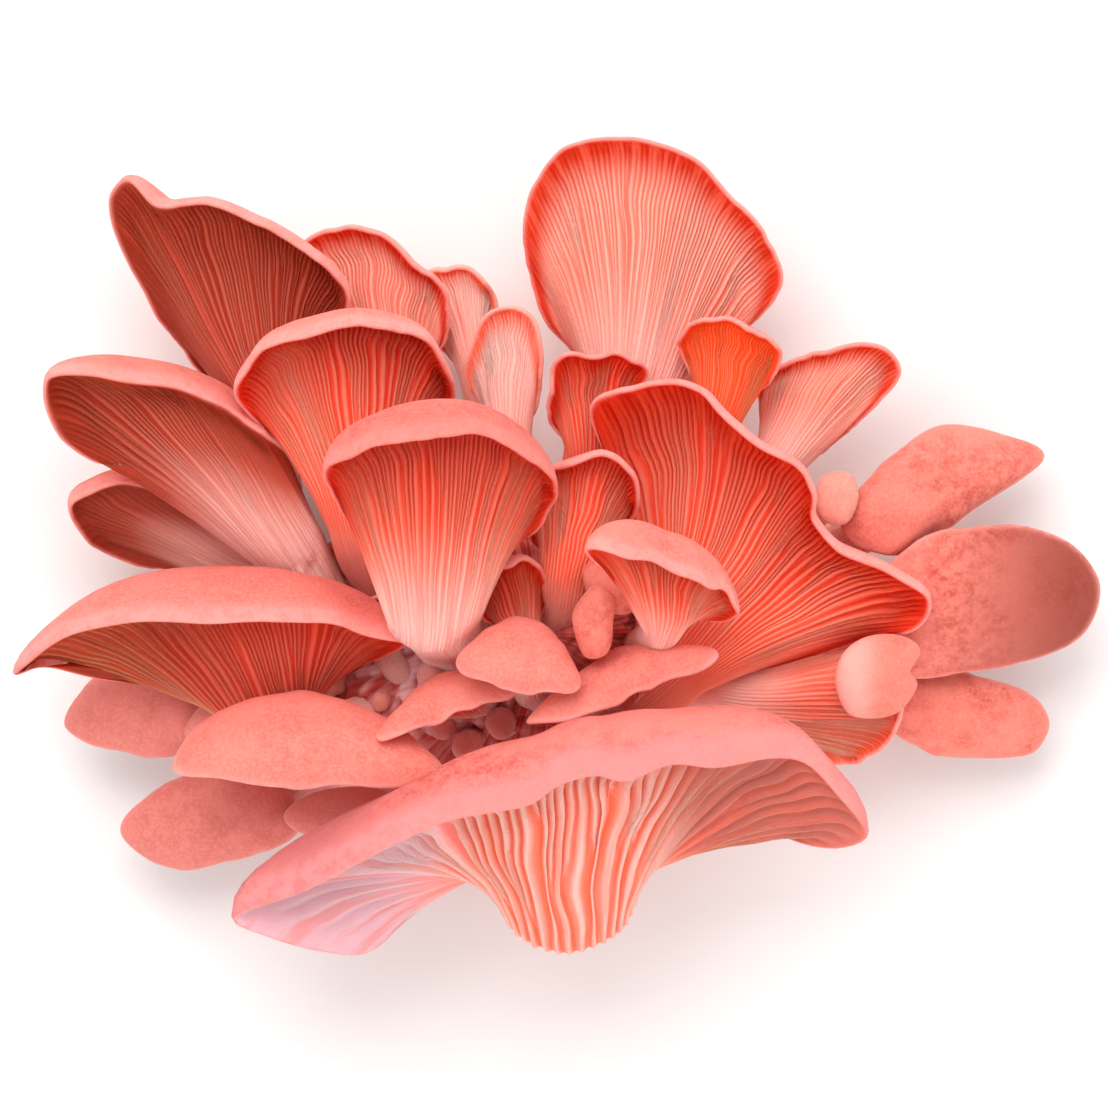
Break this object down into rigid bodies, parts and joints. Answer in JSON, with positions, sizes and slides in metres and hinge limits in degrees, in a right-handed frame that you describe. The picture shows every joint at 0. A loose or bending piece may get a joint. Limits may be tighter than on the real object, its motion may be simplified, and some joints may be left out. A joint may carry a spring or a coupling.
{
  "type": "oyster mushroom cluster",
  "caption": "Cluster of pink oyster mushrooms with gilled fan and hood caps crowding on one lumpy pale butt, as picked, lying on its flat cut base.",
  "frame": {"origin": "a point of the flat cut face that the cluster rests on, near its middle", "axes": "+Z up out of the cut face, towards the viewer of the picture, who looks down on the cluster; +X to the right and +Y up in the picture"},
  "size_m": [0.2123, 0.1631, 0.0985],
  "materials": {
    "pink_flesh": null,
    "pale_flesh": null
  },
  "bodies": {
    "root": {"base": "pale_flesh", "bonnet_centre": "pink_flesh", "bonnet_centre_left": "pink_flesh", "bonnet_left": "pink_flesh", "bonnet_lower_left": "pink_flesh", "bud_right": "pale_flesh", "cap_curled": "pink_flesh", "cap_left_round": "pink_flesh", "cap_low_left": "pink_flesh", "cap_low_left_small": "pink_flesh", "cap_oval_small": "pink_flesh", "cap_oval_upright": "pink_flesh", "cap_right": "pink_flesh", "cap_right_lower": "pink_flesh", "cap_right_upper": "pink_flesh", "cap_small_left": "pink_flesh", "cap_small_right": "pink_flesh", "cap_small_top": "pink_flesh", "fan_left": "pink_flesh", "fan_right": "pink_flesh", "fan_small_left": "pink_flesh", "fan_top": "pink_flesh", "fan_top_right": "pink_flesh", "fan_upper_left": "pink_flesh", "fan_upper_left_back": "pink_flesh", "fan_upper_right": "pink_flesh", "funnel_right": "pink_flesh", "hood_bottom": "pink_flesh", "hood_centre": "pink_flesh", "hood_centre_right": "pink_flesh", "hood_centre_small": "pink_flesh", "hood_left": "pink_flesh"}
  },
  "joints": []
}
